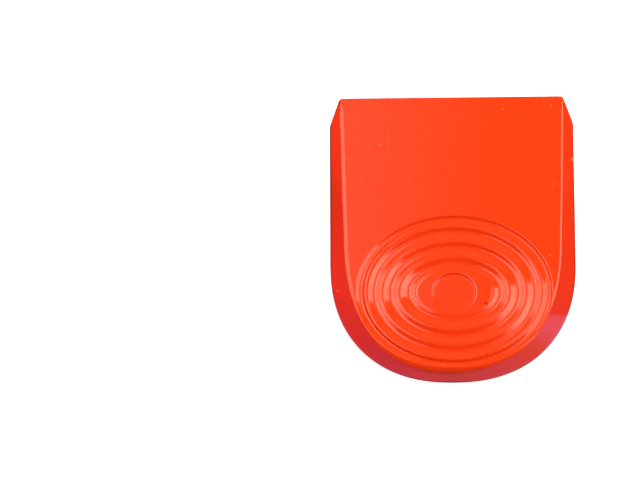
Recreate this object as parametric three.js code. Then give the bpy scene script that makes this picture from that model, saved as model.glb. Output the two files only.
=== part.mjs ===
// Heel pad for a shoe, lying on its cloth face with the moulded underside up.
// An elastomer wedge falls from the heel to a straight front edge. Its sides and heel slope out to the
// outline, and concentric oval ribs surround a flat island under the heel. A thin woven cloth is bonded
// to the flat face. Millimetres, +Z up, +Y towards the front edge, origin under the middle of the pad.
import * as THREE from "three";

// Overall size
const LENGTH = 76.7;
const COVER_THICKNESS = 1;
const BOND_GAP = 0.15;

// Height of the plateau above the ground at its front and back ends, and of the lip round the outline
const FRONT_HEIGHT = 3.8;
const HEEL_HEIGHT = 8;
const LIP_HEIGHT = 0.45;

// An edge seen from above: straight stretches between stations, then a rounded heel, which is half of a
// superellipse. Stations are measured back from the front edge.
const OUTLINE = {
  stations: [
    { fromFront: 0, halfWidth: 29.95 },
    { fromFront: 7.3, halfWidth: 32.7 },
    { fromFront: 44.9, halfWidth: 33 },
  ],
  heelLength: LENGTH - 44.9,
  heelPower: 2.28,
};
const PLATEAU = {
  stations: [
    { fromFront: 0, halfWidth: 29.95 },
    { fromFront: 7.3, halfWidth: 29.7 },
    { fromFront: 27.5, halfWidth: 29.3 },
    { fromFront: 36, halfWidth: 29 },
  ],
  heelLength: 36.6,
  heelPower: 2.5,
};

// The wall from the plateau's edge (0) to the lip at the outline (1)
const WALL = [
  { out: 0, down: 0 },
  { out: 0.06, down: 0.03 },
  { out: 0.16, down: 0.12 },
  { out: 0.55, down: 0.53 },
  { out: 1, down: 1 },
];

// The oval ribs, from the rim inwards: half sizes across and along the pad, depth below the plateau, and
// the width of the flat land on each crest and trough
const RIB_CENTRE_FROM_FRONT = 52.3;
const RIM_MARGIN = 0.35;
const RIBS = [
  { name: "rim", across: 26.7, along: 20.5, depth: 0, land: 0 },
  { name: "outer trough", across: 24.7, along: 19.4, depth: 0.7, land: 0.3 },
  { name: "outer crest", across: 23.45, along: 17.7, depth: 0.05, land: 0.4 },
  { name: "second trough", across: 21.55, along: 16, depth: 0.62, land: 0.5 },
  { name: "second crest", across: 19.4, along: 13.8, depth: 0.05, land: 0.4 },
  { name: "third trough", across: 17.2, along: 12, depth: 0.64, land: 0.5 },
  { name: "inner crest", across: 14.85, along: 9.75, depth: 0.05, land: 0.4 },
  { name: "inner trough", across: 12.25, along: 7.45, depth: 0.74, land: 0.5 },
  { name: "island edge", across: 10.4, along: 6.2, depth: 0.35, land: 0 },
  { name: "recess edge", across: 6, along: 5.3, depth: 0.35, land: 0 },
  { name: "recess floor", across: 5.5, along: 4.8, depth: 0.74, land: 0 },
];
const RECESS_DEPTH = RIBS.at(-1).depth;

// Directions in which every loop of the pad has a point: even steps and the corners of the outline
const EVEN_STEPS = 120;
const CORNER_CLEARANCE = THREE.MathUtils.degToRad(1);

const BASE_HEIGHT = COVER_THICKNESS + BOND_GAP;
const RIB_CENTRE_Y = LENGTH / 2 - RIB_CENTRE_FROM_FRONT;

const fromFrontAt = (y) => LENGTH / 2 - y;

function halfWidthAt(edge, fromFront) {
  const last = edge.stations.at(-1);
  if (fromFront >= last.fromFront) {
    const share = Math.min((fromFront - last.fromFront) / edge.heelLength, 1);
    return last.halfWidth * (1 - share ** edge.heelPower) ** (1 / edge.heelPower);
  }
  const next = edge.stations.findIndex((station) => station.fromFront > fromFront);
  const [a, b] = [edge.stations[next - 1], edge.stations[next]];
  return THREE.MathUtils.mapLinear(fromFront, a.fromFront, b.fromFront, a.halfWidth, b.halfWidth);
}

function isInside(edge, x, y) {
  const fromFront = fromFrontAt(y);
  const heelEnd = edge.stations.at(-1).fromFront + edge.heelLength;
  return fromFront >= 0 && fromFront <= heelEnd && Math.abs(x) <= halfWidthAt(edge, fromFront);
}

// Distance from the middle of the ribs to an edge, by halving the interval that holds it
function reachOf(edge, angle) {
  let near = 0;
  let far = LENGTH;
  for (let halving = 0; halving < 48; halving++) {
    const middle = (near + far) / 2;
    const x = middle * Math.cos(angle);
    const y = RIB_CENTRE_Y + middle * Math.sin(angle);
    if (isInside(edge, x, y)) near = middle;
    else far = middle;
  }
  return near;
}

const ellipseReach = (across, along, angle) =>
  1 / Math.hypot(Math.cos(angle) / across, Math.sin(angle) / along);

const plateauHeight = (y) =>
  THREE.MathUtils.mapLinear(
    fromFrontAt(y),
    0,
    PLATEAU.stations.at(-1).fromFront + PLATEAU.heelLength,
    FRONT_HEIGHT,
    HEEL_HEIGHT,
  );

function directions() {
  const corners = OUTLINE.stations
    .slice(0, 2)
    .flatMap(({ fromFront, halfWidth }) =>
      [halfWidth, -halfWidth].map((x) => Math.atan2(RIB_CENTRE_FROM_FRONT - fromFront, x)),
    );
  const even = Array.from({ length: EVEN_STEPS }, (_, step) => Math.PI * ((2 * step) / EVEN_STEPS - 1));
  const isClear = (angle) => corners.every((corner) => Math.abs(angle - corner) > CORNER_CLEARANCE);
  return [...even.filter(isClear), ...corners].sort((a, b) => a - b);
}

const DIRECTIONS = directions();

const pointAt = (angle, reach) =>
  new THREE.Vector2(reach * Math.cos(angle), RIB_CENTRE_Y + reach * Math.sin(angle));

// One loop of the pad: a point in each direction, at the distance and height that two functions give
const loopOf = (reach, height) =>
  DIRECTIONS.map((angle) => {
    const { x, y } = pointAt(angle, reach(angle));
    return new THREE.Vector3(x, y, height(y, angle));
  });

function ribLoops() {
  const sides = RIBS.flatMap((rib) =>
    rib.land > 0
      ? [rib.land / 2, -rib.land / 2].map((shift) => ({ ...rib, shift }))
      : [{ ...rib, shift: 0 }],
  );
  return sides.map(({ across, along, depth, shift }) =>
    loopOf(
      (angle) =>
        Math.min(ellipseReach(across + shift, along + shift, angle), reachOf(PLATEAU, angle) - RIM_MARGIN),
      (y) => plateauHeight(y) - depth,
    ),
  );
}

function wallLoops() {
  const lipTop = BASE_HEIGHT + LIP_HEIGHT;
  return WALL.map(({ out, down }) =>
    loopOf(
      (angle) => THREE.MathUtils.lerp(reachOf(PLATEAU, angle), reachOf(OUTLINE, angle), out),
      (_, angle) => {
        const edgeY = pointAt(angle, reachOf(PLATEAU, angle)).y;
        return THREE.MathUtils.lerp(plateauHeight(edgeY), lipTop, down);
      },
    ),
  );
}

// A closed skin over loops that run from a point on the top to a point on the base
function skinOf(top, loops, base) {
  const count = DIRECTIONS.length;
  const points = [top, ...loops.flat(), base];
  const index = (loop, step) => 1 + loop * count + (step % count);
  const triangles = [];
  for (let step = 0; step < count; step++) {
    triangles.push(0, index(0, step), index(0, step + 1));
    for (let loop = 1; loop < loops.length; loop++) {
      const [a, b] = [index(loop - 1, step), index(loop - 1, step + 1)];
      const [c, d] = [index(loop, step), index(loop, step + 1)];
      triangles.push(a, c, d, a, d, b);
    }
    triangles.push(points.length - 1, index(loops.length - 1, step + 1), index(loops.length - 1, step));
  }
  const geometry = new THREE.BufferGeometry().setFromPoints(points);
  geometry.setIndex(triangles);
  geometry.computeVertexNormals();
  return geometry;
}

function mouldedPad() {
  const outlineAtBase = loopOf(
    (angle) => reachOf(OUTLINE, angle),
    () => BASE_HEIGHT,
  );
  const loops = [...ribLoops().reverse(), ...wallLoops(), outlineAtBase];
  const top = new THREE.Vector3(0, RIB_CENTRE_Y, plateauHeight(RIB_CENTRE_Y) - RECESS_DEPTH);
  const base = new THREE.Vector3(0, RIB_CENTRE_Y, BASE_HEIGHT);
  const elastomer = new THREE.MeshStandardMaterial({ color: 0xf8481e, roughness: 0.3, metalness: 0 });
  const mesh = new THREE.Mesh(skinOf(top, loops, base), elastomer);
  mesh.name = "moulded_pad";
  return mesh;
}

function fabricCover() {
  const outline = new THREE.Shape(DIRECTIONS.map((angle) => pointAt(angle, reachOf(OUTLINE, angle))));
  const geometry = new THREE.ExtrudeGeometry(outline, { depth: COVER_THICKNESS, bevelEnabled: false });
  const cloth = new THREE.MeshStandardMaterial({ color: 0xff3e23, roughness: 0.85, metalness: 0 });
  const mesh = new THREE.Mesh(geometry, cloth);
  mesh.name = "fabric_cover";
  return mesh;
}

const heelPad = new THREE.Group();
heelPad.add(mouldedPad(), fabricCover());

export default heelPad;
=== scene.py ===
"""Looks of a heel pad that lies on its cloth face with the moulded underside up."""

import math

import bpy
import numpy as np
from mathutils import Euler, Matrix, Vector


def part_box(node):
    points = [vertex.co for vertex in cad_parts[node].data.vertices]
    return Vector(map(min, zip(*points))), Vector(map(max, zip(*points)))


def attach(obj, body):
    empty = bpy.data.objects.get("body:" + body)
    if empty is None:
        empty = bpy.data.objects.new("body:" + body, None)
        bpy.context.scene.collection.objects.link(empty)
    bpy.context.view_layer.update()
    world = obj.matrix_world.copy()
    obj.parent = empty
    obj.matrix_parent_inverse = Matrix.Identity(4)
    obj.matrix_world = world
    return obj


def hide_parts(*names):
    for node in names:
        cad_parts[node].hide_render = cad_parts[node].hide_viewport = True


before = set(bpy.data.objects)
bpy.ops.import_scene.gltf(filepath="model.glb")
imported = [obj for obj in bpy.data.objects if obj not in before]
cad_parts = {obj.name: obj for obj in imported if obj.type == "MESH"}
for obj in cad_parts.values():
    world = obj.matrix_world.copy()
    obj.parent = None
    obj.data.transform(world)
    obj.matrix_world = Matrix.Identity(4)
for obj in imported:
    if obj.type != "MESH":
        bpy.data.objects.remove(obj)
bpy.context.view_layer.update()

# Sizes of the pad in millimetres, from the frame where it has them
MM = 0.001
PAD_LOW, PAD_HIGH = (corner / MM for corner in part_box("moulded_pad"))
COVER_LOW, _ = (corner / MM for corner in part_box("fabric_cover"))
LENGTH = PAD_HIGH.y - PAD_LOW.y
HALF_WIDTH = PAD_HIGH.x
FRONT_Y = PAD_HIGH.y
BASE_HEIGHT = PAD_LOW.z
HEEL_HEIGHT = PAD_HIGH.z
FRONT_HEIGHT = 3.8
LIP_HEIGHT = 0.45

# An edge seen from above: stations (distance from the front, half width, rounding of the corner), then
# half of a superellipse for the heel. The uncut outline has no slanted cuts at its front corners.
WIDEST_AT = 44.9
OUTLINE = {
    "stations": [(0, 29.95, 0.8), (7.3, 32.7, 0.9), (WIDEST_AT, HALF_WIDTH, 0)],
    "heel_length": LENGTH - WIDEST_AT,
    "heel_power": 2.28,
}
UNCUT = {**OUTLINE, "stations": [(0, 32.64, 0.8), (WIDEST_AT, HALF_WIDTH, 0)]}
PLATEAU = {
    "stations": [(0, 29.95, 0.8), (7.3, 29.7, 2), (27.5, 29.3, 4), (36, 29, 0)],
    "heel_length": 36.4,
    "heel_power": 2.5,
}
PLATEAU_LENGTH = PLATEAU["stations"][-1][0] + PLATEAU["heel_length"]

# The oval ribs from the rim inwards: half sizes across and along the pad, how far the oval's middle lies
# behind the common centre, depth below the plateau at the sides and at the two ends, and the share of the
# flanks beside it that is rounded
RIB_CENTRE_FROM_FRONT = 52.3
RIB_CENTRE_Y = FRONT_Y - RIB_CENTRE_FROM_FRONT
RIBS_RIGHT_OF_MIDDLE = 0.15
RIBS = np.array([
    # across, along, behind, side depth, end depth, rounding
    (26.6, 20.4, -0.25, 0.0, 0.0, 0.24),  # rim
    (25.45, 19.5, -0.2, 0.47, 0.42, 0.31),  # outer groove
    (25.1, 19.35, -0.2, 0.5, 0.45, 0.4),
    (23.65, 18.08, -0.22, -0.07, -0.07, 0.4),  # crest of the outer rib
    (23.3, 17.68, 0.1, -0.05, -0.05, 0.2),
    (21.55, 16.05, 0.0, 0.52, 0.52, 0.4),  # second groove
    (19.5, 13.88, 0.1, -0.05, -0.05, 0.2),  # crest of the middle rib
    (19.25, 13.72, 0.1, -0.05, -0.05, 0.2),
    (17.2, 11.98, 0.0, 0.54, 0.54, 0.4),  # third groove
    (14.97, 9.83, 0.1, -0.05, -0.05, 0.2),  # crest of the inner rib
    (14.72, 9.67, 0.1, -0.05, -0.05, 0.2),
    (12.25, 7.45, 0.0, 0.68, 0.56, 0.4),  # inner groove
    (10.6, 6.35, 0.0, 0.3, 0.36, 0.2),  # edge of the island
    (10.42, 6.28, 0.0, 0.3, 0.35, 0.4),  # its tread
    (9.85, 6.0, 0.0, 0.22, 0.28, 0.2),  # its lip
    (5.95, 5.2, 0.0, 0.21, 0.28, 0.2),  # edge of the recess
    (5.35, 4.55, 0.0, 0.64, 0.64, 0.4),  # floor of the recess
])
ACROSS, SIDE_DEPTH, ROUNDING = 0, 3, 5
OVAL = slice(0, 3)
DEPTHS = slice(3, 5)

# Loops between two rows of the ribs, which are fewer where the rows lie close together
FLANK_LOOPS = 12
NARROW_FLANK = 1
NARROW_FLANK_LOOPS = 4

# Where other loops lie: shares of the recess's size, and of the way from the rim to the shoulder
RECESS_SHARES = (0.4, 0.8, 0.95, 0.985)
RIM_SHARES = (0.004, 0.02, 0.08, 0.2, 0.4, 0.6, 0.8, 0.93, 0.985)

# The shoulder between the plateau and the wall: distance out from the plateau's edge and slope in degrees
SHOULDER = [
    (-0.74, 0),
    (-0.62, 9),
    (-0.52, 15),
    (0.1, 22),
    (0.25, 25),
    (0.37, 40),
    (0.5, 50),
]
SHOULDER_STEPS = 18

# The shoulder's size: its share on the right side, how much its part on the wall grows at the heel, the
# widths of wall from which its parts on the plateau and on the wall are full, and the most of the land
# between the rim and the plateau's edge that it takes up
RIGHT_SHOULDER_SHARE = 0.5
HEEL_SHOULDER_GROWTH = 2.7
FULL_INWARDS_FROM = 0.4
FULL_OUTWARDS_FROM = 1.2
SHOULDER_LAND_SHARE = 0.9

# The wall: its steps below the shoulder, and the run under which there is none
WALL_STEPS = 7
NO_WALL = 0.01

# The least share by which the plateau's edge counts as facing a direction that crosses it at a slant
LEAST_SQUARENESS = 0.4

# Small marks on the surface: x, y, half width, half length
# The dark marks are painted shade for the hollows of a burst bubble and a nick, which the mesh lacks
DARK_MARKS = [
    (8.7, -17.05, 0.5, 0.5),  # burst bubble beside the island
    (8.8, -30.7, 0.12, 0.45),  # nick in the outer rib
]
# Lighter specks, and a lighter streak along the right edge
LIGHT_MARKS = [
    (-19.1, 25.7, 0.2, 0.2),
    (13.75, 35.0, 0.2, 0.2),
    (26.8, 35.9, 0.2, 0.2),
    (26.8, 14.75, 0.2, 0.2),
    (25.8, -4.3, 0.2, 0.2),
    (-31.1, -13.3, 0.2, 0.2),
    (-3.2, -33.4, 0.15, 0.2),
    (32.4, 21.3, 0.35, 0.6),  # torn skin on the right edge
]

# The cloth stands a little proud of the elastomer. Its edges are rounded, and a bond line lies above it.
CLOTH_PROUD = 0.1
CLOTH_EDGE = 0.25
CLOTH_EDGE_STEPS = 5
CLOTH_SHARES = (0.25, 0.5, 0.75)
BOND_LINE = 0.03

# Mesh fineness
MESH_STEP = 0.55
MEASURE_STEP = 0.03
CORNER_STEPS = 8
SHARP_ANGLE = math.radians(50)


def curve_through(start, corner, end, count):
    """Points of a quadratic curve that leaves start towards corner and arrives at end."""
    t = np.linspace(0, 1, count)[:, None]
    return (1 - t) ** 2 * start + 2 * t * (1 - t) * corner + t**2 * end


def edge_side(edge, step):
    """The right side of an edge as rows of (x, distance from the front), from the front to the heel."""
    corners = [np.array([0.0, 0.0])]
    corners += [np.array([half, back], float) for back, half, _ in edge["stations"]]
    roundings = [rounding for _, _, rounding in edge["stations"]]
    rows = []
    start = corners[0]
    for before, corner, rounding, after in zip(corners, corners[1:], roundings, corners[2:] + [None]):
        inwards = (before - corner) / np.linalg.norm(before - corner)
        stop = corner + rounding * inwards
        count = max(2, math.ceil(np.linalg.norm(stop - start) / step))
        rows.append(np.linspace(start, stop, count, endpoint=False))
        start = stop
        if after is not None and rounding:
            onwards = (after - corner) / np.linalg.norm(after - corner)
            start = corner + rounding * onwards
            rows.append(curve_through(stop, corner, start, CORNER_STEPS)[:-1])
    width, begin = corners[-1]
    turn = np.linspace(0, math.pi / 2, math.ceil(math.pi / 2 * width / step))
    x = width * np.cos(turn) ** (2 / edge["heel_power"])
    back = begin + edge["heel_length"] * np.sin(turn) ** (2 / edge["heel_power"])
    rows.append(np.column_stack([x, back]))
    return np.concatenate(rows)


def angles_of(side):
    """Directions from the middle of the ribs to the points of a right side, from the front to the heel."""
    return np.arctan2(RIB_CENTRE_FROM_FRONT - side[:, 1], np.abs(side[:, 0]))


def reach_of(edge, angles):
    """Distance from the middle of the ribs to an edge in some directions."""
    side = edge_side(edge, MEASURE_STEP)
    known = angles_of(side)
    reach = np.hypot(side[:, 0], RIB_CENTRE_FROM_FRONT - side[:, 1])
    folded = np.arctan2(np.sin(angles), np.abs(np.cos(angles)))
    return np.interp(folded, known[::-1], reach[::-1])


def oval_reach(across, along, behind, angles):
    """Distance from the common centre to an oval whose middle lies a little behind it."""
    a = (np.cos(angles) / across) ** 2 + (np.sin(angles) / along) ** 2
    b = behind * np.sin(angles) / along**2
    c = (behind / along) ** 2 - 1
    return (np.sqrt(b**2 - a * c) - b) / a


def plateau_height(y):
    return FRONT_HEIGHT + (HEEL_HEIGHT - FRONT_HEIGHT) * (FRONT_Y - y) / PLATEAU_LENGTH


# Directions in which every loop has a point, the neighbours along a loop, and the reach of both edges
RIGHT = angles_of(edge_side(OUTLINE, MESH_STEP))
DIRECTIONS = np.concatenate([RIGHT[::-1], math.pi - RIGHT[1:-1]])
COUNT = len(DIRECTIONS)
NEIGHBOURS = [(step, (step + 1) % COUNT) for step in range(COUNT)]
RADIAL = np.column_stack([np.cos(DIRECTIONS), np.sin(DIRECTIONS)])
OUTLINE_REACH = reach_of(OUTLINE, DIRECTIONS) - CLOTH_PROUD
PLATEAU_REACH = np.minimum(reach_of(PLATEAU, DIRECTIONS), OUTLINE_REACH)
WALL_RUN = OUTLINE_REACH - PLATEAU_REACH
EDGE_HEIGHT = plateau_height(RIB_CENTRE_Y + PLATEAU_REACH * RADIAL[:, 1])


def loop_at(reach, height):
    """One loop of points at a distance from the middle of the ribs, which may differ by direction."""
    x = reach * RADIAL[:, 0]
    y = RIB_CENTRE_Y + reach * RADIAL[:, 1]
    z = height(y) if callable(height) else height + 0 * x
    return np.column_stack([x, y, z])


def flank(t, start, end):
    """A step from 0 to 1 that is straight but for rounded stretches at its start and end."""
    steepness = 1 / (1 - start / 2 - end / 2)
    begin = steepness * t**2 / (2 * start)
    straight = steepness * (t - start / 2)
    finish = 1 - steepness * (1 - t) ** 2 / (2 * end)
    return np.where(t < start, begin, np.where(t > 1 - end, finish, straight))


def oval_loop(oval, depths, scale=1):
    """One loop of the ribs, whose depth below the plateau may differ between the sides and the ends."""
    side_depth, end_depth = depths
    depth = end_depth + (side_depth - end_depth) * np.cos(DIRECTIONS) ** 2
    reach = scale * oval_reach(*oval, DIRECTIONS)
    return loop_at(reach, lambda y: plateau_height(y) - depth) + (RIBS_RIGHT_OF_MIDDLE, 0, 0)


def rib_loops():
    """Loops from the middle of the recess out to the rim."""
    rows = RIBS[::-1]
    recess, rim = rows[0], rows[-1]
    loops = [oval_loop(recess[OVAL], recess[DEPTHS], scale) for scale in RECESS_SHARES]
    for inner, outer in zip(rows, rows[1:]):
        narrow = outer[ACROSS] - inner[ACROSS] < NARROW_FLANK
        t = np.linspace(0, 1, NARROW_FLANK_LOOPS if narrow else FLANK_LOOPS, endpoint=False)
        for share, rise in zip(t, flank(t, inner[ROUNDING], outer[ROUNDING])):
            moved = inner + share * (outer - inner)
            raised = inner + rise * (outer - inner)
            loops.append(oval_loop(moved[OVAL], raised[DEPTHS]))
    loops.append(oval_loop(rim[OVAL], rim[DEPTHS]))
    return loops


def shoulder_rows():
    """The shoulder's rows: distance out from the plateau's edge and fall below the plateau."""
    outs, slopes = np.transpose(SHOULDER)
    out = np.sort(np.append(np.linspace(outs[0], outs[-1], SHOULDER_STEPS), 0))
    steepness = np.tan(np.radians(np.interp(out, outs, slopes)))
    falls = np.cumsum((steepness[1:] + steepness[:-1]) / 2 * np.diff(out))
    return out, np.append(0, falls)


def edge_slant():
    """How much further a direction has to go over the plateau's edge than a way square to it."""
    edge = PLATEAU_REACH[:, None] * RADIAL
    along = np.roll(edge, -1, 0) - np.roll(edge, 1, 0)
    square = np.column_stack([along[:, 1], -along[:, 0]]) / np.linalg.norm(along, axis=1)[:, None]
    return 1 / np.clip((square * RADIAL).sum(1), LEAST_SQUARENESS, 1)


def shoulder_sizes(slant):
    """Sizes of the shoulder's part on the plateau and of its part on the wall, by direction."""
    wall_width = WALL_RUN / slant
    land = (PLATEAU_REACH - oval_reach(*RIBS[0, OVAL], DIRECTIONS)) * SHOULDER_LAND_SHARE / slant
    right = np.clip(2 * np.cos(DIRECTIONS), 0, 1)
    heel = np.clip(-np.sin(DIRECTIONS), 0, 1) ** 2
    share = 1 - (1 - RIGHT_SHOULDER_SHARE) * right
    inwards = np.minimum(share * np.clip(wall_width / FULL_INWARDS_FROM, 0, 1), land)
    outwards = share * np.clip(wall_width / FULL_OUTWARDS_FROM, 0, 1) * (1 + HEEL_SHOULDER_GROWTH * heel)
    return inwards, outwards


def shoulder_loops():
    """Loops over the rounded shoulder from the plateau to the wall."""
    slant = edge_slant()
    inwards, outwards = shoulder_sizes(slant)
    outs, falls = shoulder_rows()
    fall_at_edge = np.interp(0, outs, falls)
    loops = []
    for out, fall in zip(outs, falls):
        reach = PLATEAU_REACH + out * slant * (inwards if out < 0 else outwards)
        height = plateau_height(RIB_CENTRE_Y + reach * RADIAL[:, 1])
        if out > 0:
            height = np.minimum(height, EDGE_HEIGHT)
        below = min(fall, fall_at_edge) * inwards + max(fall - fall_at_edge, 0) * outwards
        loops.append(loop_at(reach, height - below))
    return loops


def lip_heights():
    """Height of the wall's foot by direction, which is higher where a front corner is cut off."""
    uncut_run = reach_of(UNCUT, DIRECTIONS) - PLATEAU_REACH
    left_of_wall = np.where(uncut_run > NO_WALL, WALL_RUN / np.maximum(uncut_run, NO_WALL), 0)
    return EDGE_HEIGHT - (EDGE_HEIGHT - (BASE_HEIGHT + LIP_HEIGHT)) * left_of_wall


def wall_loops():
    """Loops from the rim over the plateau and its rounded shoulder, and down the wall to the base."""
    rim = oval_loop(RIBS[0, OVAL], RIBS[0, DEPTHS])
    shoulder = shoulder_loops()
    lip_height = lip_heights()
    lip = loop_at(OUTLINE_REACH, lip_height)
    loops = [rim + t * (shoulder[0] - rim) for t in RIM_SHARES]
    loops += shoulder
    loops += [shoulder[-1] + t * (lip - shoulder[-1]) for t in np.linspace(0, 1, WALL_STEPS + 1)[1:]]
    loops.append(loop_at(OUTLINE_REACH, (BASE_HEIGHT + lip_height) / 2))
    loops.append(loop_at(OUTLINE_REACH, BASE_HEIGHT))
    return loops


def add_object(name, data):
    """A new object in the scene."""
    made = bpy.data.objects.new(name, data)
    bpy.context.scene.collection.objects.link(made)
    return made


def mesh_object(name, points, faces):
    """A new object from points in metres and the faces between them."""
    mesh = bpy.data.meshes.new(name)
    mesh.from_pydata(points, [], faces)
    return add_object(name, mesh)


def band(inner, outer):
    """Faces between two loops, each given by the number of its first point."""
    return [(inner + a, outer + a, outer + b, inner + b) for a, b in NEIGHBOURS]


def skin(name, loops, first, last):
    """A closed smooth mesh over loops that run from one point to another."""
    points = np.concatenate([[first], *loops, [last]])
    starts = [1 + loop * COUNT for loop in range(len(loops))]
    faces = [(0, starts[0] + a, starts[0] + b) for a, b in NEIGHBOURS]
    for inner, outer in zip(starts, starts[1:]):
        faces += band(inner, outer)
    faces += [(len(points) - 1, starts[-1] + b, starts[-1] + a) for a, b in NEIGHBOURS]
    piece = mesh_object(name, points * MM, faces)
    piece.data.shade_smooth()
    piece.data.set_sharp_from_angle(angle=SHARP_ANGLE)
    return piece


def make_pad():
    loops = rib_loops() + wall_loops()
    floor = plateau_height(RIB_CENTRE_Y) - RIBS[-1, SIDE_DEPTH]
    middle = (RIBS_RIGHT_OF_MIDDLE, RIB_CENTRE_Y, floor)
    return skin("elastomer_pad", loops, middle, (0, RIB_CENTRE_Y, BASE_HEIGHT))


def make_cover():
    low = COVER_LOW.z
    high = BASE_HEIGHT - BOND_LINE
    reach = OUTLINE_REACH + CLOTH_PROUD
    turns = np.linspace(0, math.pi / 2, CLOTH_EDGE_STEPS)
    loops = [loop_at(reach * share, high) for share in CLOTH_SHARES]
    for turn in turns:
        out = reach - CLOTH_EDGE * (1 - math.sin(turn))
        loops.append(loop_at(out, high - CLOTH_EDGE * (1 - math.cos(turn))))
    for turn in turns:
        out = reach - CLOTH_EDGE * (1 - math.cos(turn))
        loops.append(loop_at(out, low + CLOTH_EDGE * (1 - math.sin(turn))))
    loops += [loop_at(reach * share, low) for share in CLOTH_SHARES[::-1]]
    return skin("printed_cloth", loops, (0, RIB_CENTRE_Y, high), (0, RIB_CENTRE_Y, low))


# Materials

NOISE_DETAIL = 3
NOISE_RANGE = (0.3, 0.7)


def material_tree(name):
    """A new material, its tree and its main shader."""
    material = bpy.data.materials.new(name)
    material.use_nodes = True
    tree = material.node_tree
    return material, tree, tree.nodes["Principled BSDF"]


def node(tree, kind, links=(), values=(), **settings):
    """A new node with its settings, and with its incoming links and its constant values by socket."""
    made = tree.nodes.new(kind)
    for key, value in settings.items():
        setattr(made, key, value)
    for key, source in dict(links).items():
        tree.links.new(source, made.inputs[key])
    for key, value in dict(values).items():
        made.inputs[key].default_value = value
    return made


def stretched_noise(tree, place, stretch, scale, roughness):
    """Noise that is drawn out along some axes."""
    mapping = node(tree, "ShaderNodeMapping", {"Vector": place}, {"Scale": stretch})
    values = {"Scale": scale, "Detail": NOISE_DETAIL, "Roughness": roughness}
    return node(tree, "ShaderNodeTexNoise", {"Vector": mapping.outputs["Vector"]}, values).outputs["Fac"]


def map_range(tree, value, from_low, from_high, to_low, to_high):
    values = {"From Min": from_low, "From Max": from_high, "To Min": to_low, "To Max": to_high}
    return node(tree, "ShaderNodeMapRange", {"Value": value}, values).outputs["Result"]


def math_node(tree, operation, a, b=None):
    made = node(tree, "ShaderNodeMath", operation=operation)
    for socket, value in zip(made.inputs, (a, b)):
        if isinstance(value, bpy.types.NodeSocket):
            tree.links.new(value, socket)
        elif value is not None:
            socket.default_value = value
    return made.outputs[0]


def mix_colours(tree, factor, first, second):
    made = node(tree, "ShaderNodeMix", {"Factor": factor}, data_type="RGBA")
    for key, colour in (("A", first), ("B", second)):
        socket = next(s for s in made.inputs if s.name == key and s.type == "RGBA")
        if isinstance(colour, bpy.types.NodeSocket):
            tree.links.new(colour, socket)
        else:
            socket.default_value = (*colour, 1)
    return next(s for s in made.outputs if s.type == "RGBA")


def add_bump(tree, shader, height, strength, relief):
    """Relief of a surface from heights between 0 and 1."""
    bump = node(tree, "ShaderNodeBump", {"Height": height}, {"Strength": strength, "Distance": relief * MM})
    tree.links.new(bump.outputs["Normal"], shader.inputs["Normal"])


# The elastomer: its colours, how sharp the edges of its marks are, and its reflection of light
ORANGE_DEEP = (0.675, 0.0275, 0.0027)
ORANGE_LIGHT = (0.7, 0.036, 0.0039)
# Painted shade for the small pits
PIT_SHADE = (0.45, 0.008, 0.004)
# Colour of the lighter marks
LIGHT_SPECK = (1, 0.16, 0.1)
MARK_EDGE = (0.7, 1.1)
ELASTOMER_IOR = 1.5
ELASTOMER_ROUGHNESS = (0.065, 0.1)
SPECULAR = 0.5
# Less gloss where the pits' shade is painted
PIT_SHADE_SPECULAR = 0.05

# Its fine grain, which fades from the left of the pad to the right, and the streaks of the mould
GRAIN_STRETCH = (1, 0.2, 1)
GRAIN_SCALE = 1300
GRAIN_ROUGHNESS = 0.6
GRAIN_FADE_FROM = -20
GRAIN_FADE_TO = 5
FADED_GRAIN = 0.3
STREAK_STRETCH = (1, 0.06, 1)
STREAK_SCALE = 1400
STREAK_ROUGHNESS = 0.5
STREAK_STRENGTH = 0.02
STREAK_RELIEF = 0.02


def mark_mask(tree, place, x, y, half_width, half_length):
    """1 inside a small oval mark, 0 outside it, for every height."""
    middle = (x * MM, y * MM, 0)
    scale = (1 / (half_width * MM), 1 / (half_length * MM), 0)
    offset = node(tree, "ShaderNodeVectorMath", {0: place}, {1: middle}, operation="SUBTRACT")
    scaled = node(tree, "ShaderNodeVectorMath", {0: offset.outputs[0]}, {1: scale}, operation="MULTIPLY")
    away = node(tree, "ShaderNodeVectorMath", {0: scaled.outputs[0]}, operation="LENGTH")
    return map_range(tree, away.outputs["Value"], *MARK_EDGE, 1, 0)


def marks_mask(tree, place, marks):
    """1 inside any of the marks."""
    first, *others = [mark_mask(tree, place, *mark) for mark in marks]
    for other in others:
        first = math_node(tree, "MAXIMUM", first, other)
    return first


def uneven_orange(tree, place):
    """The elastomer's colour with its fine grain."""
    grain = stretched_noise(tree, place, GRAIN_STRETCH, GRAIN_SCALE, GRAIN_ROUGHNESS)
    grain = map_range(tree, grain, *NOISE_RANGE, -0.5, 0.5)
    side = node(tree, "ShaderNodeSeparateXYZ", {"Vector": place}).outputs["X"]
    strength = map_range(tree, side, GRAIN_FADE_FROM * MM, GRAIN_FADE_TO * MM, 1, FADED_GRAIN)
    cloud = math_node(tree, "ADD", math_node(tree, "MULTIPLY", grain, strength), 0.5)
    return mix_colours(tree, cloud, ORANGE_DEEP, ORANGE_LIGHT)


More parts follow.
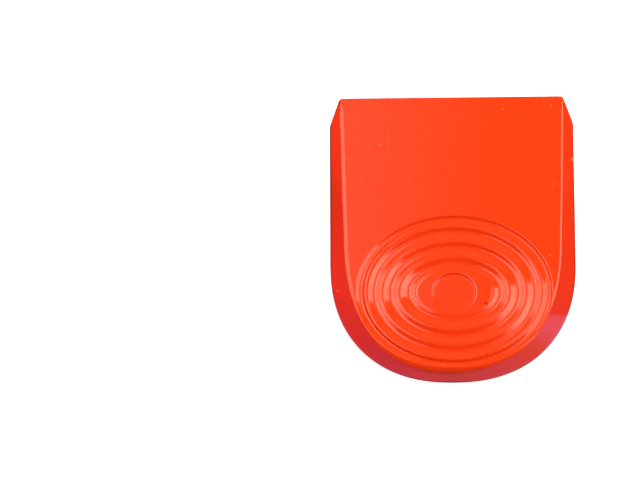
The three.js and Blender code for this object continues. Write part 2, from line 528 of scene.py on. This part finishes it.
def elastomer():
    """Glossy cast elastomer with faint streaks of the mould, a slightly uneven colour, light marks and
    painted shade in small pits.
    """
    material, tree, shader = material_tree("elastomer")
    place = node(tree, "ShaderNodeTexCoord").outputs["Object"]
    dark = marks_mask(tree, place, DARK_MARKS)
    light = marks_mask(tree, place, LIGHT_MARKS)
    # Painted shade in the small pits, then the lighter marks
    colour = mix_colours(tree, dark, uneven_orange(tree, place), PIT_SHADE)
    tree.links.new(mix_colours(tree, light, colour, LIGHT_SPECK), shader.inputs["Base Color"])
    specular = map_range(tree, dark, 0, 1, SPECULAR, PIT_SHADE_SPECULAR)
    tree.links.new(specular, shader.inputs["Specular IOR Level"])
    streaks = stretched_noise(tree, place, STREAK_STRETCH, STREAK_SCALE, STREAK_ROUGHNESS)
    roughness = map_range(tree, streaks, *NOISE_RANGE, *ELASTOMER_ROUGHNESS)
    tree.links.new(roughness, shader.inputs["Roughness"])
    add_bump(tree, shader, streaks, STREAK_STRENGTH, STREAK_RELIEF)
    shader.inputs["IOR"].default_value = ELASTOMER_IOR
    return material


# The cloth: its two colours, painted darker between the threads as shade, and its dark colour above the
# face
CLOTH_RED = ((0.8, 0.03, 0.01), (0.95, 0.062, 0.024))
CLOTH_MAROON = ((0.17, 0.014, 0.017), (0.33, 0.07, 0.07))
CLOTH_ABOVE_FACE = (0.2, 0.02, 0.02)
CLOTH_ROUGHNESS = 0.85
CLOTH_SHEEN = 0.15

# The print: the slant and spacing of its stripes, their half widths, and how far the narrow stripe lies
# from the wide one
STRIPE_SLANT = 0.6
STRIPE_SPACING = 22
WIDE_STRIPE = 3.2
NARROW_STRIPE = 0.9
NARROW_STRIPE_AWAY = 6.5

# The weave: distance between threads across and along the pad, and the relief of the threads
THREAD_ACROSS = 0.7
THREAD_ALONG = 0.45
THREAD_RELIEF = 0.06
THREAD_STRENGTH = 0.7


def stripe(tree, slanted, away, half_width):
    """1 on stripes that lie some way off the middle of the print, 0 elsewhere."""
    moved = math_node(tree, "SUBTRACT", slanted, away * MM)
    distance = math_node(tree, "PINGPONG", moved, STRIPE_SPACING / 2 * MM)
    return math_node(tree, "LESS_THAN", distance, half_width * MM)


def thread_height(tree, x, y):
    """Raised threads of a plain weave from 0 to 1, every other row moved by half a thread."""
    across = math_node(tree, "COSINE", math_node(tree, "MULTIPLY", x, 2 * math.pi / (THREAD_ACROSS * MM)))
    along = math_node(tree, "COSINE", math_node(tree, "MULTIPLY", y, math.pi / (THREAD_ALONG * MM)))
    return map_range(tree, math_node(tree, "MULTIPLY", across, along), -1, 1, 0, 1)


def cloth():
    """Plain weave with a printed pattern of slanted stripes on its face, and one dark colour above it."""
    material, tree, shader = material_tree("printed_weave")
    place = node(tree, "ShaderNodeTexCoord").outputs["Object"]
    parts = node(tree, "ShaderNodeSeparateXYZ", {"Vector": place})
    x, y = parts.outputs["X"], parts.outputs["Y"]
    threads = thread_height(tree, x, y)
    slanted = math_node(tree, "ADD", x, math_node(tree, "MULTIPLY", y, STRIPE_SLANT))
    wide = stripe(tree, slanted, 0, WIDE_STRIPE)
    narrow = stripe(tree, slanted, NARROW_STRIPE_AWAY, NARROW_STRIPE)
    # Painted shade between the threads, lighter colour on them
    red = mix_colours(tree, threads, *CLOTH_RED)
    maroon = mix_colours(tree, threads, *CLOTH_MAROON)
    printed = mix_colours(tree, math_node(tree, "MAXIMUM", wide, narrow), red, maroon)
    # One dark colour over the cloth above its lower rounding, where it shows as a thin dark line round the
    # pad
    above_face = math_node(tree, "GREATER_THAN", parts.outputs["Z"], CLOTH_EDGE * MM)
    tree.links.new(mix_colours(tree, above_face, printed, CLOTH_ABOVE_FACE), shader.inputs["Base Color"])
    add_bump(tree, shader, threads, THREAD_STRENGTH, THREAD_RELIEF)
    shader.inputs["Roughness"].default_value = CLOTH_ROUGHNESS
    shader.inputs["Sheen Weight"].default_value = CLOTH_SHEEN
    return material


def dress(piece, material, node_name):
    piece.data.materials.append(material)
    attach(piece, "root")
    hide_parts(node_name)


# Stage in metres: a white floor, lights, a glowing dish that the walls mirror, and the camera

WHITE = (1, 1, 1)
WARM = (1, 1, 0.77)
BLACK = (0, 0, 0)
ORIGIN = (0, 0, 0)

FLOOR_HALF_SIZE = 1.5
FLOOR_HEIGHT = -0.05 * MM
FLOOR_GREY = (0.6, 0.6, 0.6)
FLOOR_ROUGHNESS = 0.9
FLOOR_GLOW = 0.85


def make_floor():
    half = FLOOR_HALF_SIZE
    corners = [(-half, -half), (half, -half), (half, half), (-half, half)]
    floor = mesh_object("floor", [(x, y, FLOOR_HEIGHT) for x, y in corners], [(0, 1, 2, 3)])
    material, _, shader = material_tree("floor_white")
    shader.inputs["Base Color"].default_value = (*FLOOR_GREY, 1)
    shader.inputs["Roughness"].default_value = FLOOR_ROUGHNESS
    shader.inputs["Emission Color"].default_value = (*WHITE, 1)
    shader.inputs["Emission Strength"].default_value = FLOOR_GLOW
    floor.data.materials.append(material)
    floor.visible_glossy = False
    floor.visible_diffuse = False


# Lights that shade the pad and don't show in it: place, width, height, radiance
SHADING_LIGHTS = [
    ("key", (0.18, 0.58, 0.76), 0.7, 0.5, 20),
    ("back_fill", (-0.14, -0.79, 0.2), 1.2, 0.3, 2.7),
]

# Lights beside the pad as its slopes mirror them to a viewer above, in degrees: twice the slope from and
# to, then for each step of the fade the directions from and to that the slope faces, and the radiance.
# Each step lies a little further away than the one before it, as a share of the distance.
SIDE_LIGHT_DISTANCE = 0.62
SIDE_LIGHT_STEP = 0.02
SIDE_LIGHTS = [
    ("left_light", (31, 51), [(155, 195, 1.1), (150, 195, 0.95), (144, 195, 0.85)]),
    ("left_back_light", (31, 51), [(195, 215, 1.1), (195, 223, 0.95), (195, 232, 0.85)]),
    ("left_low_light", (51, 60), [(138, 172, 1.1)]),
    ("right_light", (32, 52), [(-47, 8, 1.6), (-51, 9, 1.35), (-55, 11, 1.15), (-38, -12, 0.8)]),
    ("right_low_light", (52, 70), [(-45, 8, 2.9)]),
]
MIRROR_TILT = 2 * math.atan((HEEL_HEIGHT - FRONT_HEIGHT) / PLATEAU_LENGTH)

# A faint glow in the slopes that face the front
GLOW_DIRECTION = 90
GLOW_LEAN = 42
GLOW_DISTANCE = 0.9
GLOW_WIDTH = 1.2
GLOW_HEIGHT = 0.6
GLOW_RADIANCE = 0.17

# Panels overhead, which show in the gentler slopes: low x, high x, low y, high y, height, radiance
BRIDGES = [
    ("left_bridge", -0.48, -0.18, -0.06, 0.28, 0.83, 5),
    ("left_front_bridge", -0.36, -0.14, 0.28, 0.48, 0.83, 4),
    ("left_back_bridge", -0.48, -0.1, -0.38, -0.06, 0.83, 3.4),
    ("right_bridge", 0.14, 0.5, -0.3, 0.15, 0.83, 2.3),
]

# Haze on the left of the plateau, from panels that each reach further right and lie higher than the last
HAZE_STEPS = 5
HAZE_LEFT = -0.2
HAZE_RIGHT = -0.03
HAZE_RIGHT_STEP = 0.014
HAZE_BACK = -0.05
HAZE_FRONT = 0.25
HAZE_HEIGHT = 0.8
HAZE_HEIGHT_STEP = 0.005
HAZE_RADIANCE = 0.16

WORLD_GREY = (0.03, 0.03, 0.03)


def panel(name, place, width, height, radiance, colour=WHITE, aim=ORIGIN, glossy=True, diffuse=True):
    """A rectangular light that faces a point, with its width level."""
    data = bpy.data.lights.new(name, "AREA")
    data.shape = "RECTANGLE"
    data.size = width
    data.size_y = height
    data.energy = radiance * math.pi * width * height
    data.color = colour
    data.cycles.use_multiple_importance_sampling = glossy
    light = add_object(name, data)
    light.location = place
    light.rotation_euler = (Vector(aim) - Vector(place)).to_track_quat("-Z", "Y").to_euler()
    light.visible_camera = False
    light.visible_glossy = glossy
    light.visible_diffuse = diffuse


def mirrored_place(direction, lean, distance):
    """The place that a slope facing some direction mirrors to a viewer above. Lean is twice the slope."""
    turn = math.radians(direction)
    fall = math.radians(lean)
    place = Vector((math.sin(fall) * math.cos(turn), math.sin(fall) * math.sin(turn), math.cos(fall)))
    place.rotate(Euler((-MIRROR_TILT, 0, 0)))
    return place * distance


def make_side_lights():
    """Lights that show in the ribs and on the shoulder, and fade out at their ends."""
    for name, (near, far), sectors in SIDE_LIGHTS:
        lean = (near + far) / 2
        for step, (first, last, radiance) in enumerate(sectors):
            distance = SIDE_LIGHT_DISTANCE * (1 + SIDE_LIGHT_STEP * step)
            away = distance * math.sin(math.radians(lean))
            width = 2 * away * math.tan(math.radians(last - first) / 2)
            height = 2 * distance * math.tan(math.radians(far - near) / 2)
            place = mirrored_place((first + last) / 2, lean, distance)
            panel(f"{name}_{step}", place, width, height, radiance, WARM, diffuse=False)


def panel_overhead(name, left, right, back, front, height, radiance, colour):
    """A level panel over the pad that shows in its gentle slopes and casts no other light."""
    place = Vector(((left + right) / 2, (back + front) / 2, height))
    below = place - Vector((0, 0, 1))
    panel(name, place, right - left, front - back, radiance, colour, below, diffuse=False)


def make_haze():
    for step in range(HAZE_STEPS):
        right = HAZE_RIGHT + HAZE_RIGHT_STEP * step
        height = HAZE_HEIGHT + HAZE_HEIGHT_STEP * step
        sides = (HAZE_LEFT, right, HAZE_BACK, HAZE_FRONT)
        panel_overhead(f"haze_{step}", *sides, height, HAZE_RADIANCE, WHITE)


def make_lights():
    for row in SHADING_LIGHTS:
        panel(*row, glossy=False)
    make_side_lights()
    glow_place = mirrored_place(GLOW_DIRECTION, GLOW_LEAN, GLOW_DISTANCE)
    panel("front_glow", glow_place, GLOW_WIDTH, GLOW_HEIGHT, GLOW_RADIANCE, diffuse=False)
    for row in BRIDGES:
        panel_overhead(*row, WARM)
    make_haze()
    world = bpy.data.worlds.new("studio")
    bpy.context.scene.world = world
    world.use_nodes = True
    world.node_tree.nodes["Background"].inputs["Color"].default_value = (*WORLD_GREY, 1)


# The glowing dish: its gap to the pad's outline in millimetres, its height above the ground, its radius and
# the depth of its rim in metres, and its red, green and blue by direction from the heel's middle in degrees
SHEEN_GAP = 1.5
SHEEN_HEIGHT = 0.1 * MM
SHEEN_RADIUS = 0.7
SHEEN_DEPTH = 0.2
SHEEN = [
    (-180, (4.8, 0.05, 0.2)),
    (-145, (5.7, 0.2, 0.38)),
    (-120, (3.4, 0.25, 0.52)),
    (-90, (2.2, 0.26, 0.32)),
    (-65, (4.1, 0.43, 0.6)),
    (-45, (4.3, 0.5, 0.48)),
    (-34, (3.0, 0.9, 1.6)),
    (-26, (2.8, 0.85, 1.55)),
    (-23, (1.9, 0.1, 0.25)),
    (0, (0.1, 0, 0.1)),
    (150, (0, 0, 0.03)),
    (179, (4.8, 0.05, 0.2)),
]


def sheen_glow():
    """A glow whose colour changes with the direction from the dish's middle."""
    material, tree, shader = material_tree("sheen")
    place = node(tree, "ShaderNodeTexCoord").outputs["Object"]
    turn = node(tree, "ShaderNodeTexGradient", {"Vector": place}, gradient_type="RADIAL")
    ramp = node(tree, "ShaderNodeValToRGB", {"Fac": turn.outputs["Fac"]})
    stops = ramp.color_ramp.elements
    while len(stops) < len(SHEEN):
        stops.new(0.5)
    for stop, (degrees, colour) in zip(stops, SHEEN):
        stop.position = degrees / 360 + 0.5
        stop.color = (*colour, 1)
    tree.links.new(ramp.outputs["Color"], shader.inputs["Emission Color"])
    shader.inputs["Emission Strength"].default_value = 1
    shader.inputs["Base Color"].default_value = (*BLACK, 1)
    shader.inputs["Specular IOR Level"].default_value = 0
    return material


def make_sheen():
    """A shallow dish round the pad that shows only as a reflection in the walls."""
    middle = np.array([0, FRONT_Y - WIDEST_AT, 0]) * MM
    inner = loop_at(OUTLINE_REACH + SHEEN_GAP, 0) * MM - middle
    outer = SHEEN_RADIUS * np.column_stack([RADIAL, np.zeros(COUNT)])
    points = np.concatenate([inner, outer, outer + (0, 0, SHEEN_DEPTH)])
    faces = band(COUNT, 0) + band(2 * COUNT, COUNT)
    dish = mesh_object("sheen", points, faces)
    dish.location = middle + (0, 0, SHEEN_HEIGHT)
    dish.data.materials.append(sheen_glow())
    dish.visible_camera = False
    dish.visible_diffuse = False
    dish.visible_shadow = False


# The photograph's frame: the pad's middle and the scale of its outline in pixels
FRAME_WIDTH_PX = 640
PAD_MIDDLE_FROM_CENTRE_PX = 132.7
PAD_WIDTH_PX = 245.4
PAD_TURN = math.radians(0.62)
CAMERA_HEIGHT = 1.7
CAMERA_NEAR = 0.01
CAMERA_FAR = 10
SENSOR_WIDTH = 36


def make_camera():
    pixel = 2 * HALF_WIDTH * MM / PAD_WIDTH_PX
    offset = PAD_MIDDLE_FROM_CENTRE_PX * pixel
    data = bpy.data.cameras.new("camera")
    data.sensor_width = SENSOR_WIDTH
    data.lens = SENSOR_WIDTH * CAMERA_HEIGHT / (FRAME_WIDTH_PX * pixel)
    data.clip_start = CAMERA_NEAR
    data.clip_end = CAMERA_FAR
    camera = add_object("camera", data)
    camera.location = (-offset * math.cos(PAD_TURN), offset * math.sin(PAD_TURN), CAMERA_HEIGHT)
    camera.rotation_euler = (0, 0, -PAD_TURN)
    bpy.context.scene.camera = camera


def main():
    pad = make_pad()
    cover = make_cover()
    dress(pad, elastomer(), "moulded_pad")
    dress(cover, cloth(), "fabric_cover")
    make_floor()
    make_lights()
    make_sheen()
    make_camera()
    bpy.context.scene.view_settings.view_transform = "Standard"


main()
